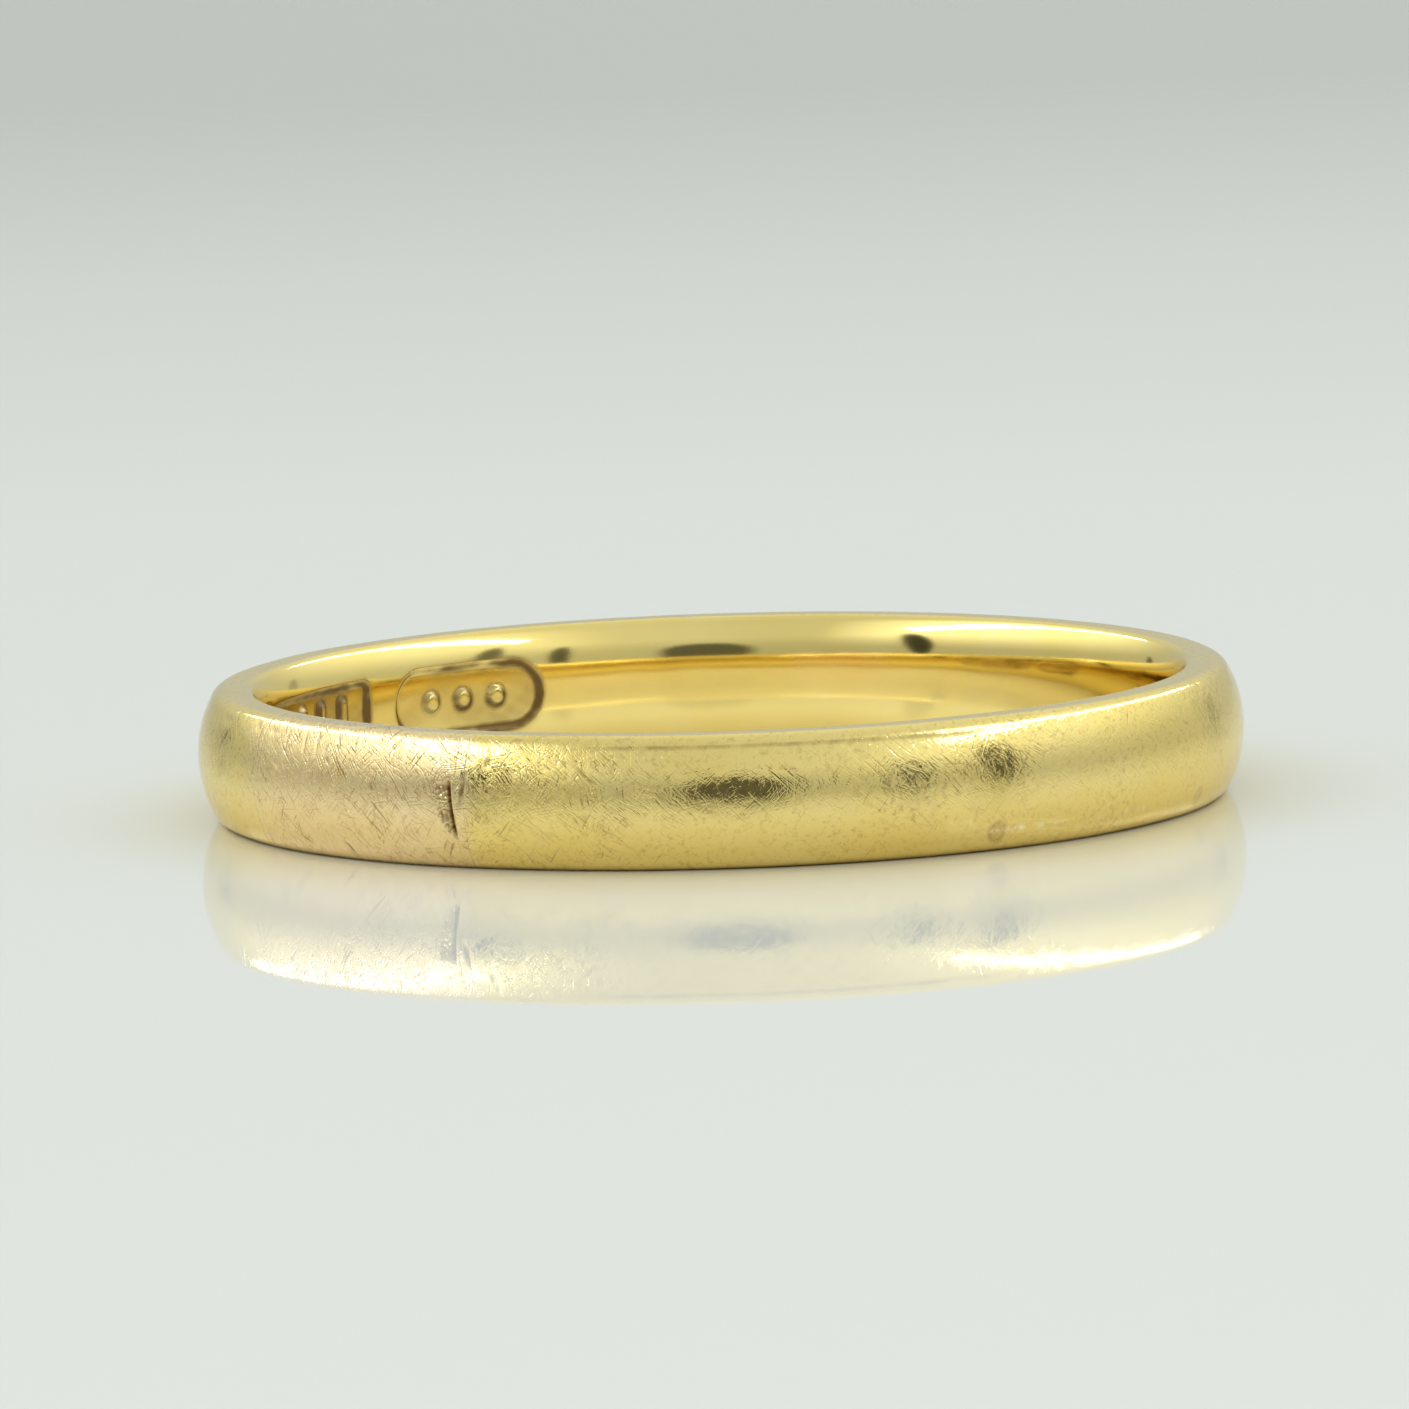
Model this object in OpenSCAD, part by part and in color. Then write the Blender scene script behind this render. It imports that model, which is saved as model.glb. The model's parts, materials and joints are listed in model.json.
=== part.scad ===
// Plain comfort-fit wedding band, lying flat on one side face.
// Millimetres. +Z runs along the finger, and z = 0 is the lower side face.
// Angles are counted from +X towards +Y. The front of the ring is -Y.
//
// The ring was enlarged once: it was cut open, and a sizing piece of a pinker
// gold was let in and soldered at both ends.

/* [Ring size] */
// Inside diameter, which sets the ring size
inside_d = 17.2; // [14:0.1:22]
// Thickness of the wall at the middle of the band
wall = 1.3; // [1.2:0.05:2]
// Width of the band along the finger
band_w = 2.5; // [2:0.1:4]

/* [Cross-section] */
// How far the crowned outside falls away by the side faces
crown_fall = 0.38; // [0.2:0.01:0.45]
// Radius of the two outer edges
outer_edge_r = 0.3; // [0.15:0.01:0.35]
// Width of the straight land that the finger bears on
land_w = 0.6; // [0.3:0.05:0.8]
// How far the inside opens out from the land to the side faces
comfort_relief = 0.27; // [0.05:0.01:0.3]
// Radius of the two inner edges
inner_edge_r = 0.2; // [0.05:0.01:0.25]

/* [Sizing piece] */
// Direction of the solder seam towards the side of the ring, in degrees
side_seam_deg = 208.5; // [195:0.5:220]
// Direction of the solder seam towards the front of the ring, in degrees
front_seam_deg = 240.6; // [230:0.1:265]
// Width of each solder seam, along the outside
seam_w = 0.2; // [0.1:0.05:0.4]

/* [Punch marks] */
// Depth of the punch marks, measured out from the land
punch_depth = 0.08; // [0.04:0.01:0.1]
// Direction of the barred rectangular mark, in degrees
bar_mark_deg = 157; // [154:1:165]
// Length of the barred mark, around the ring
bar_mark_l = 4.6; // [3:0.1:5]
// Height of the barred mark, along the finger
bar_mark_h = 1.2; // [0.8:0.1:1.4]
// Direction of the oval mark, in degrees
oval_mark_deg = 125; // [110:1:126]
// Length of the oval mark, around the ring
oval_mark_l = 3.4; // [2:0.1:3.6]
// Height of the oval mark, along the finger
oval_mark_h = 1.3; // [0.8:0.1:1.4]

/* [Hidden] */
bore_r = inside_d / 2;
outer_r = bore_r + wall;
half_w = band_w / 2;
mid_r = bore_r + wall / 2;
// The outer and inner halves of the section overlap by this much at mid_r.
lap = 0.1;

// Crown: an arc through the widest point that falls by crown_fall at the side
// faces, with an edge arc inside it that touches both the crown and the face.
crown_r = (half_w * half_w + crown_fall * crown_fall) / (2 * crown_fall);
crown_x = outer_r - crown_r;
outer_edge_z = half_w - outer_edge_r;
crown_end_deg = asin(outer_edge_z / (crown_r - outer_edge_r));
outer_edge_x = crown_x + (crown_r - outer_edge_r) * cos(crown_end_deg);
crown_end_z = crown_r * sin(crown_end_deg);

// Comfort flares: arcs that start square to the land's ends and open outwards,
// with an edge arc inside each that touches both the flare and the side face.
flare_h = half_w - land_w / 2;
flare_r = (flare_h * flare_h + comfort_relief * comfort_relief) / (2 * comfort_relief);
flare_x = bore_r + flare_r;
inner_edge_z = half_w - inner_edge_r;
flare_end_deg = asin((inner_edge_z - land_w / 2) / (flare_r - inner_edge_r));
inner_edge_x = flare_x - (flare_r - inner_edge_r) * cos(flare_end_deg);
flare_end_h = flare_r * sin(flare_end_deg);

// The cuts between the pieces, as angles around the ring.
seam_deg = seam_w / outer_r * 180 / PI;
side_cut_deg = [side_seam_deg - seam_deg / 2, side_seam_deg + seam_deg / 2];
front_cut_deg = [front_seam_deg - seam_deg / 2, front_seam_deg + seam_deg / 2];

// Marks: bars in the rectangle and dots in the oval are left standing.
bar_count = 5;
bar_w = 0.22;
bar_h_share = 0.6;
dot_count = 3;
dot_r = 0.16;
dot_pitch_share = 0.22;

arc_fn = 72;
ring_fn = 180;

// Outer half of the section, symmetrical about the middle of the band.
module crown_side_2d() {
  intersection() {
    translate([crown_x, 0]) circle(r = crown_r, $fn = 4 * arc_fn);
    translate([mid_r - lap, -crown_end_z]) square([wall, 2 * crown_end_z]);
  }
  for (side = [-1, 1])
    translate([outer_edge_x, side * outer_edge_z]) circle(r = outer_edge_r, $fn = arc_fn);
  translate([mid_r - lap, -half_w]) square([outer_edge_x - mid_r + lap, band_w]);
}

// Inner half of the section, with the land in the middle.
module finger_side_2d() {
  translate([bore_r, -land_w / 2]) square([wall / 2, land_w]);
  for (side = [0, 1])
    mirror([0, side])
      translate([0, land_w / 2]) {
        intersection() {
          translate([flare_x, 0]) circle(r = flare_r, $fn = 4 * arc_fn);
          translate([mid_r - wall, 0]) square([wall, flare_end_h]);
        }
        translate([inner_edge_x, inner_edge_z - land_w / 2])
          circle(r = inner_edge_r, $fn = arc_fn);
      }
  translate([inner_edge_x, -half_w]) square([mid_r - inner_edge_x, band_w]);
}

// A length of the band between two angles.
module band_arc(from_deg, to_deg) {
  rotate([0, 0, from_deg])
    rotate_extrude(angle = to_deg - from_deg, $fn = ring_fn)
      translate([0, half_w]) {
        crown_side_2d();
        finger_side_2d();
      }
}

// Cuts a flat outline into the inside wall, down to a floor that follows the bore.
module punched(direction_deg) {
  intersection() {
    rotate([0, 0, direction_deg])
      translate([mid_r - wall, 0, half_w])
        rotate([90, 0, 90])
          linear_extrude(wall) children();
    cylinder(r = bore_r + punch_depth, h = band_w, $fn = ring_fn);
  }
}

// Rectangle with a row of upright bars left standing in it.
module bar_mark_2d() {
  difference() {
    square([bar_mark_l, bar_mark_h], center = true);
    for (i = [1 : bar_count])
      translate([(i / (bar_count + 1) - 0.5) * bar_mark_l, 0])
        square([bar_w, bar_h_share * bar_mark_h], center = true);
  }
}

// Oval with straight sides and a row of round dots left standing in it.
module oval_mark_2d() {
  end_r = oval_mark_h / 2;
  difference() {
    union() {
      square([oval_mark_l - oval_mark_h, oval_mark_h], center = true);
      for (side = [-1, 1])
        translate([side * (oval_mark_l / 2 - end_r), 0]) circle(r = end_r, $fn = arc_fn);
    }
    for (i = [0 : dot_count - 1])
      translate([(i - (dot_count - 1) / 2) * dot_pitch_share * oval_mark_l, 0])
        circle(r = dot_r, $fn = arc_fn);
  }
}

// The original ring, open between the two seams, with its punch marks.
module shank() {
  color([0.80, 0.68, 0.36])
    difference() {
      band_arc(front_cut_deg[1], side_cut_deg[0] + 360);
      punched(bar_mark_deg) bar_mark_2d();
      punched(oval_mark_deg) oval_mark_2d();
    }
}

// The length let in to enlarge the ring.
module sizing_piece() {
  color([0.83, 0.67, 0.46])
    band_arc(side_cut_deg[1], front_cut_deg[0]);
}

// A thin layer of solder across the whole section.
module solder_seam(cut_deg) {
  color([0.86, 0.80, 0.62])
    band_arc(cut_deg[0], cut_deg[1]);
}

module side_solder_seam() {
  solder_seam(side_cut_deg);
}

module front_solder_seam() {
  solder_seam(front_cut_deg);
}

shank();
sizing_piece();
side_solder_seam();
front_solder_seam();
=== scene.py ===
import json
import math

import bpy
import numpy as np
from mathutils import Matrix, Vector


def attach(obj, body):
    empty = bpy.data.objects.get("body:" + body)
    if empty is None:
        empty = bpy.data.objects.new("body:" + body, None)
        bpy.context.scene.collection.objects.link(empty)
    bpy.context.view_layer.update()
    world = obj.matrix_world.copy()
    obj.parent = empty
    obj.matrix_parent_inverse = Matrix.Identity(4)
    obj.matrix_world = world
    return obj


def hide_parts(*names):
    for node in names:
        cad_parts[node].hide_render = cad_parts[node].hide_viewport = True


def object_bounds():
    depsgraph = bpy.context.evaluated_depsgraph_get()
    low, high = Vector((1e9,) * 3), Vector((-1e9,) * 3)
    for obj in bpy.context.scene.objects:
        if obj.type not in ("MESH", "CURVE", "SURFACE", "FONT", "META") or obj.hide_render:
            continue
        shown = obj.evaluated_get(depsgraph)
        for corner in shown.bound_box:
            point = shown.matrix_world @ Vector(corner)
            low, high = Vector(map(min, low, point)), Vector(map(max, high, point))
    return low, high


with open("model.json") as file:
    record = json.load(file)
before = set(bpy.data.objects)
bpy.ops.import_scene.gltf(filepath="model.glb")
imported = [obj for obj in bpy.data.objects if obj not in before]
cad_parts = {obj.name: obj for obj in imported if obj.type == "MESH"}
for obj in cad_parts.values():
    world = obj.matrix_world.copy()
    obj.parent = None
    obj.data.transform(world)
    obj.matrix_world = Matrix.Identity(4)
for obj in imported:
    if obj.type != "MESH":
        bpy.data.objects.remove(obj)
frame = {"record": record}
cad_low, cad_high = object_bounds()

# Lengths are in millimetres and angles in degrees up to the point where a mesh or an
# object is made. Angles round the ring are counted from +X towards +Y, so that the
# camera, on -Y, looks at 270.
MM = 0.001
FINGER_BORE = next(m for m in frame["record"]["mounts"] if m["name"] == "finger_bore")

# The ring's section, as in the CAD model.
BORE_R = FINGER_BORE["dims"]["r_mm"]
OUTER_R = (cad_high.x - cad_low.x) / 2 / MM
BAND_W = (cad_high.z - cad_low.z) / MM
HALF_W = BAND_W / 2
CROWN_FALL = 0.38
OUTER_EDGE_R = 0.30
COMFORT_RELIEF = 0.27
INNER_EDGE_R = 0.20

# The CAD bore is a flat land between two arcs. Wear has made it one curve, which stays
# within 0.02 mm of them and opens out by a power of the height.
BORE_WEAR_POWER = 3.5

# The sizing piece lies between the two solder seams.
SIDE_SEAM = 208.5
FRONT_SEAM = 240.6
SEAM_W = 0.20
SEAM_SPAN = math.degrees(SEAM_W / OUTER_R)


def smooth_step(low, high, x):
    """0 below low, 1 above high, and an S-curve between them."""
    t = np.clip((x - low) / (high - low), 0, 1)
    return t * t * (3 - 2 * t)


def bell(distance, width):
    """1 at distance 0, falling away over about width."""
    return np.exp(-0.5 * (distance / width) ** 2)


def turned(deg, start):
    """The angle from start to deg, between -180 and 180."""
    return (deg - start + 180) % 360 - 180


def window(x, low, high, fade):
    """1 between low and high, with soft ends inside them."""
    return smooth_step(low, low + fade, x) * (1 - smooth_step(high - fade, high, x))


# ---------------------------------------------------------------- the section


def arc(centre, radius, start, end, step):
    """Points on an arc as rows of r, z, and the outward normal's angle."""
    count = max(2, math.ceil(math.radians(end - start) * radius / step))
    angles = np.linspace(start, end, count, endpoint=False)
    turn = np.radians(angles)
    return np.c_[centre[0] + radius * np.cos(turn), centre[1] + radius * np.sin(turn), angles]


def line(start, end, normal, step):
    """Points on a straight stretch, in the same form as arc()."""
    count = max(2, math.ceil(math.dist(start, end) / step))
    share = np.linspace(0, 1, count, endpoint=False)[:, None]
    points = np.array(start) + share * (np.array(end) - np.array(start))
    return np.c_[points, np.full(count, float(normal))]


def bore_lean(z):
    """How far the bore's normal leans out of level at a height above mid-height."""
    share = abs(z) / HALF_W
    slope = BORE_WEAR_POWER * COMFORT_RELIEF / HALF_W * share ** (BORE_WEAR_POWER - 1)
    return math.degrees(math.atan(math.copysign(slope, z)))


def bore(top, step):
    """Points down the bore from top to -top, in the same form as arc()."""
    count = math.ceil(2 * top / step)
    heights = np.linspace(top, -top, count, endpoint=False)
    radii = BORE_R + COMFORT_RELIEF * (np.abs(heights) / HALF_W) ** BORE_WEAR_POWER
    return np.c_[radii, heights, [180 - bore_lean(z) for z in heights]]


# Rows are close together over the last degrees of the crown, where it is most worn.
SHOULDER_DEG = 8.0
SOLVER_ROUNDS = 20

# Rounded edges count most as edge where the normal leans this many degrees, give or take.
EDGE_LEAN = 62
EDGE_LEAN_SPREAD = 16
# How far a normal has to point in or out for its place to start to count as inside or
# outside, and to count wholly. Straight in or out is 1.
INSIDE_SHARES = (0.15, 0.6)
OUTSIDE_SHARES = (0.0, 0.4)


def section(crown_step, edge_step, bore_step):
    """The band's closed outline, from the middle of the lower face outwards and round.

    Each row has r, z above the lower face, the normal's r and z parts, the distance
    travelled along the outline, and how far it counts as inside, outside or edge.
    """
    crown_r = (HALF_W**2 + CROWN_FALL**2) / (2 * CROWN_FALL)
    crown_x = OUTER_R - crown_r
    outer_z = HALF_W - OUTER_EDGE_R
    crown_end = math.degrees(math.asin(outer_z / (crown_r - OUTER_EDGE_R)))
    outer_x = crown_x + (crown_r - OUTER_EDGE_R) * math.cos(math.radians(crown_end))

    # Where the bore meets the rounding of the inner edge, found by repeated guesses.
    inner_z = HALF_W - INNER_EDGE_R
    bore_top = inner_z
    for _ in range(SOLVER_ROUNDS):
        bore_top = inner_z + INNER_EDGE_R * math.sin(math.radians(bore_lean(bore_top)))
    bore_end = bore_lean(bore_top)
    bore_edge_r = BORE_R + COMFORT_RELIEF * (bore_top / HALF_W) ** BORE_WEAR_POWER
    inner_x = bore_edge_r + INNER_EDGE_R * math.cos(math.radians(bore_end))

    face_mid = (outer_x + inner_x) / 2
    shoulder = crown_end - SHOULDER_DEG
    parts = [
        line((face_mid, -HALF_W), (outer_x, -HALF_W), -90, crown_step),
        arc((outer_x, -outer_z), OUTER_EDGE_R, -90, -crown_end, edge_step),
        arc((crown_x, 0), crown_r, -crown_end, -shoulder, min(crown_step, edge_step)),
        arc((crown_x, 0), crown_r, -shoulder, shoulder, crown_step),
        arc((crown_x, 0), crown_r, shoulder, crown_end, min(crown_step, edge_step)),
        arc((outer_x, outer_z), OUTER_EDGE_R, crown_end, 90, edge_step),
        line((outer_x, HALF_W), (inner_x, HALF_W), 90, crown_step),
        arc((inner_x, inner_z), INNER_EDGE_R, 90, 180 - bore_end, edge_step),
        bore(bore_top, bore_step),
        arc((inner_x, -inner_z), INNER_EDGE_R, 180 + bore_end, 270, edge_step),
        line((inner_x, -HALF_W), (face_mid, -HALF_W), 270, crown_step),
    ]
    points = np.vstack(parts)
    r, z, normal = points[:, 0], points[:, 1] + HALF_W, np.radians(points[:, 2])
    lean = np.degrees(np.arcsin(np.abs(np.sin(normal))))
    gaps = np.hypot(np.diff(r, append=r[0]), np.diff(z, append=z[0]))
    travelled = np.concatenate([[0], np.cumsum(gaps)[:-1]])
    return {
        "r": r,
        "z": z,
        "nr": np.cos(normal),
        "nz": np.sin(normal),
        "along": travelled,
        "girth": gaps.sum(),
        "inside": smooth_step(*INSIDE_SHARES, -np.cos(normal)),
        "outside": smooth_step(*OUTSIDE_SHARES, np.cos(normal)),
        "edge": bell(lean - EDGE_LEAN, EDGE_LEAN_SPREAD),
    }


# ---------------------------------------------------------------- the wear

WEAR_SEED = 54

# Random knocks: count, lowest and highest z, and the ranges of radius and depth.
CROWN_DENTS = (190, 0.15, 2.35, (0.03, 0.09), (0.001, 0.004))
UPPER_RIM_NICKS = (90, 2.20, 2.42, (0.02, 0.05), (0.003, 0.010))
LOWER_RIM_NICKS = (45, 0.08, 0.30, (0.02, 0.05), (0.003, 0.010))

# The punch marks, as in the CAD model, with corners that wear has rounded.
BAR_MARK = {"at": 157, "length": 4.6, "height": 1.2, "corner": 0.12}
BARS = {"count": 5, "width": 0.22, "height": 0.72, "corner": 0.08}
OVAL_MARK = {"at": 125, "length": 3.4, "height": 1.3}
DOTS = {"count": 3, "radius": 0.16, "pitch": 0.75}
PUNCH_DEPTH = 0.08

# Dirt and painted shade lie in a band along the foot of a punched wall, and thinly over the floor.
PUNCH_DARK_FROM_WALL = 0.03
PUNCH_DARK_WIDTH = 0.065
PUNCH_FLOOR_DARK = 0.26
# Its strength at a mark's less shaded end, and the painted shade it gains towards the other
# one. The gain starts and is complete at these distances from the mark's middle.
PUNCH_DARK_LEAST = 0.65
PUNCH_SHADE_GAIN = 0.65
BAR_MARK_SHADE = (1.2, -2.0)
OVAL_MARK_SHADE = (0.9, -1.5)
# A punched wall slopes: its foot and its top, as distances out from the mark's outline.
PUNCH_WALL = (-0.04, 0.02)

# Single scratches and nicks that stand out: place (degrees, z), length, width, slant and depth.
SINGLE_NICKS = [
    (214.0, 2.12, 0.34, 0.030, 96, 0.014),
    (217.4, 2.16, 0.42, 0.035, 100, 0.018),
    (219.6, 2.18, 0.46, 0.035, 97, 0.020),
    (221.3, 2.08, 0.30, 0.030, 84, 0.014),
    (223.1, 2.22, 0.36, 0.035, 104, 0.018),
    (225.8, 2.20, 0.30, 0.030, 92, 0.014),
    (228.5, 2.10, 0.26, 0.028, 80, 0.012),
    (231.6, 2.16, 0.28, 0.030, 99, 0.012),
    (221.9, 1.86, 0.14, 0.045, 130, 0.014),
    (224.3, 0.26, 0.30, 0.050, 122, 0.024),
    (240.9, 1.50, 0.40, 0.060, 80, 0.036),
    (243.9, 2.02, 0.22, 0.070, 60, 0.016),
    (284.6, 2.14, 0.42, 0.030, 125, 0.012),
    (287.9, 1.55, 0.30, 0.025, 95, 0.010),
    (268.2, 1.22, 0.46, 0.028, 140, 0.010),
    (272.4, 1.16, 0.38, 0.028, 48, 0.010),
]

# Brown spots left by something that dried on: place (degrees, z), radius and strength.
SPOTS = [
    (301.1, 0.39, 0.225, 1.0),
    (335.9, 0.36, 0.190, 0.7),
    (293.2, 0.95, 0.110, 0.35),
]

# The open pit at the front seam: where its slit runs, how high, and how deep.
SLIT_AT = 239.45
SLIT_LOW, SLIT_HIGH = 0.55, 1.75
SLIT_LEAN = 0.10
SLIT_HALF_W = 0.026
SLIT_DEPTH = 0.08

# The porous metal beside the slit, which narrows towards its foot.
PORES_W, PORES_FOOT_W = 0.26, 0.06
PORES_NARROW_FROM = 1.1
PORES_DEPTH = 0.030

# Sets of ripples: seed, wavelength and amount. The first two are the wear of years, by
# so many millimetres. The others break up the pores, the dirt and painted shade in the
# punch marks, the dirt in the top crease and the painted highlight along the low crease.
BROAD_WEAR = (3, 3.2, 0.0024)
SHORT_WEAR = (4, 1.0, 0.0008)
FROTH = (11, 0.085, 1.0)
BROAD_GRIME_AND_SHADE = (21, 1.1, 0.36)
SHORT_GRIME_AND_SHADE = (22, 0.25, 0.12)
CREASE_GRIME = (23, 0.5, 0.35)
CREASE_HIGHLIGHT_BREAKS = (31, 0.60, 0.40)

# The depth worn away all over, and the share of all this wear that the bore is spared.
WORN_AWAY = 0.005
BORE_SPARED = 0.6

# Long creases: z, half width, where round the ring they start and end, fade and depth.
CREASE_TOP = (2.30, 0.020, 250, 308, 14, 0.013)
# The low crease also carries a painted highlight: a pale line that stands in for the lamps' light
# reflected off the table.
CREASE_LOW = (0.41, 0.034, 292, 332, 12, 0.006)

# The sizing piece and the metal beside it are the most rubbed.
RUBBED_FROM, RUBBED_TO, RUBBED_FADE = 205, 268, 12
RUBBED_ELSEWHERE = 0.42

SEAM_GROOVE_DEPTH = 0.0005
SEAM_GROOVE_HALF_W = 0.045

# How much dirt lies in each kind of wear. In a nick, it is for each millimetre of depth.
SLIT_DIRT = 0.85
PORES_DIRT, FROTH_DIRT = 0.18, 0.50
CREASE_DIRT = 0.70
NICK_DIRT = 26

# How far the pale solder has flowed over the gold on both sides of each seam.
SOLDER_FLOWS = [(SIDE_SEAM, 1.30), (FRONT_SEAM, 0.45)]


def ripples(points, seed, wavelength, amount, waves=9):
    """Gentle unevenness: a sum of waves that run in random directions through space."""
    rng = np.random.default_rng(seed)
    total = np.zeros(points.shape[:-1])
    for _ in range(waves):
        direction = rng.normal(size=3)
        direction /= np.linalg.norm(direction)
        number = 2 * math.pi / (wavelength * rng.uniform(0.7, 1.4))
        total += np.sin(number * (points @ direction) + rng.uniform(0, 2 * math.pi))
    return amount * total / math.sqrt(waves)


def scattered_dents(rng, count, z_low, z_high, radius, depth):
    """Random knocks, one to three times as long as wide, in the form of SINGLE_NICKS."""
    made = []
    for _ in range(count):
        deg = rng.uniform(0, 360)
        z = rng.uniform(z_low, z_high)
        size = rng.uniform(*radius)
        slant = rng.uniform(0, 180)
        made.append((deg, z, 3 * size * rng.uniform(1, 3), 2 * size, slant, rng.uniform(*depth)))
    return made


def dent_field(deg, z, dents):
    """Depth of the knocks on the outside, worked out on the unrolled surface."""
    field = np.zeros(np.broadcast(deg, z).shape)
    for at, height, length, width, slant, depth in dents:
        across = turned(deg, at)
        near = np.abs(across[:, 0]) < math.degrees(1.5 * length / OUTER_R)
        if not near.any():
            continue
        x = np.radians(across[near]) * OUTER_R
        y = z - height
        lean = math.radians(slant)
        u = (x * math.cos(lean) + y * math.sin(lean)) / (length / 3)
        v = (y * math.cos(lean) - x * math.sin(lean)) / (width / 2)
        field[near] = np.maximum(field[near], depth * np.exp(-0.5 * (u**2 + v**2)))
    return field


def rounded_box(x, y, half_x, half_y, corner):
    """Signed distance to a rectangle with round corners, negative inside."""
    dx = np.abs(x) - half_x + corner
    dy = np.abs(y) - half_y + corner
    outside = np.hypot(np.maximum(dx, 0), np.maximum(dy, 0))
    return outside + np.minimum(np.maximum(dx, dy), 0) - corner


def nearest_in_row(x, pitch, count):
    """The place of the nearest of a row of evenly spaced things, centred on 0."""
    return np.clip(np.round(x / pitch), -(count // 2), count // 2) * pitch


def bar_mark_gap(x, y):
    """Signed distance to the sunk part of the barred mark, negative inside."""
    half_l, half_h = BAR_MARK["length"] / 2, BAR_MARK["height"] / 2
    frame_gap = rounded_box(x, y, half_l, half_h, BAR_MARK["corner"])
    pitch = BAR_MARK["length"] / (BARS["count"] + 1)
    from_bar = x - nearest_in_row(x, pitch, BARS["count"])
    bar_gap = rounded_box(from_bar, y, BARS["width"] / 2, BARS["height"] / 2, BARS["corner"])
    return np.maximum(frame_gap, -bar_gap)


def oval_mark_gap(x, y):
    """Signed distance to the sunk part of the oval mark, negative inside."""
    half_l, half_h = OVAL_MARK["length"] / 2, OVAL_MARK["height"] / 2
    oval_gap = rounded_box(x, y, half_l, half_h, half_h)
    from_dot = x - nearest_in_row(x, DOTS["pitch"], DOTS["count"])
    dot_gap = np.hypot(from_dot, y) - DOTS["radius"]
    return np.maximum(oval_gap, -dot_gap)


def punch_marks(deg, z):
    """How far the two punch marks are sunk, from 0 to 1, and the grime and painted shade in them."""
    y = z - HALF_W
    bar_x = np.radians(turned(deg, BAR_MARK["at"])) * BORE_R
    oval_x = np.radians(turned(deg, OVAL_MARK["at"])) * BORE_R
    bar_mark, oval_mark = bar_mark_gap(bar_x, y), oval_mark_gap(oval_x, y)

    # Each mark gets more painted shade towards the end nearer the back of the ring.
    bar_shade = smooth_step(*BAR_MARK_SHADE, bar_x)
    oval_shade = smooth_step(*OVAL_MARK_SHADE, oval_x)
    shaded = np.where(bar_mark < oval_mark, bar_shade, oval_shade)

    gap = np.minimum(bar_mark, oval_mark)
    sunk = 1 - smooth_step(*PUNCH_WALL, gap)
    # The band along each wall and the thin cover over the floor are grime and painted shade together.
    wall_grime_and_shade = bell(gap + PUNCH_DARK_FROM_WALL, PUNCH_DARK_WIDTH)
    grime = np.maximum(wall_grime_and_shade, PUNCH_FLOOR_DARK * sunk)
    return sunk, grime * (PUNCH_DARK_LEAST + PUNCH_SHADE_GAIN * shaded)


def slit(deg, z):
    """The open solder pit at the front seam: a narrow slit, and porous metal beside it."""
    x = np.radians(turned(deg, SLIT_AT)) * OUTER_R - SLIT_LEAN * (HALF_W - z)
    cut = bell(x, SLIT_HALF_W) * window(z, SLIT_LOW, SLIT_HIGH, 0.2)
    reach = PORES_W - (PORES_W - PORES_FOOT_W) * smooth_step(PORES_NARROW_FROM, SLIT_LOW, z)
    pores = smooth_step(-reach - 0.05, -reach + 0.02, x) * (1 - smooth_step(-0.01, 0.02, x))
    return cut, pores * window(z, SLIT_LOW + 0.08, SLIT_HIGH - 0.05, 0.15)


def spots(deg, z):
    """The brown spots: strongest at their rims."""
    field = np.zeros(np.broadcast(deg, z).shape)
    for at, height, radius, strength in SPOTS:
        far = np.hypot(np.radians(turned(deg, at)) * OUTER_R, z - height) / radius
        spot = 0.6 * (1 - smooth_step(0.7, 1.05, far)) + 0.4 * bell(far - 0.8, 0.14)
        field = np.maximum(field, strength * spot)
    return field


def crease(deg, z, kind):
    """How strongly a long crease shows, from 0 to 1."""
    height, half_w, start, end, fade, _ = kind
    return bell(z - height, half_w) * window(deg % 360, start, end, fade)


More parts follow.
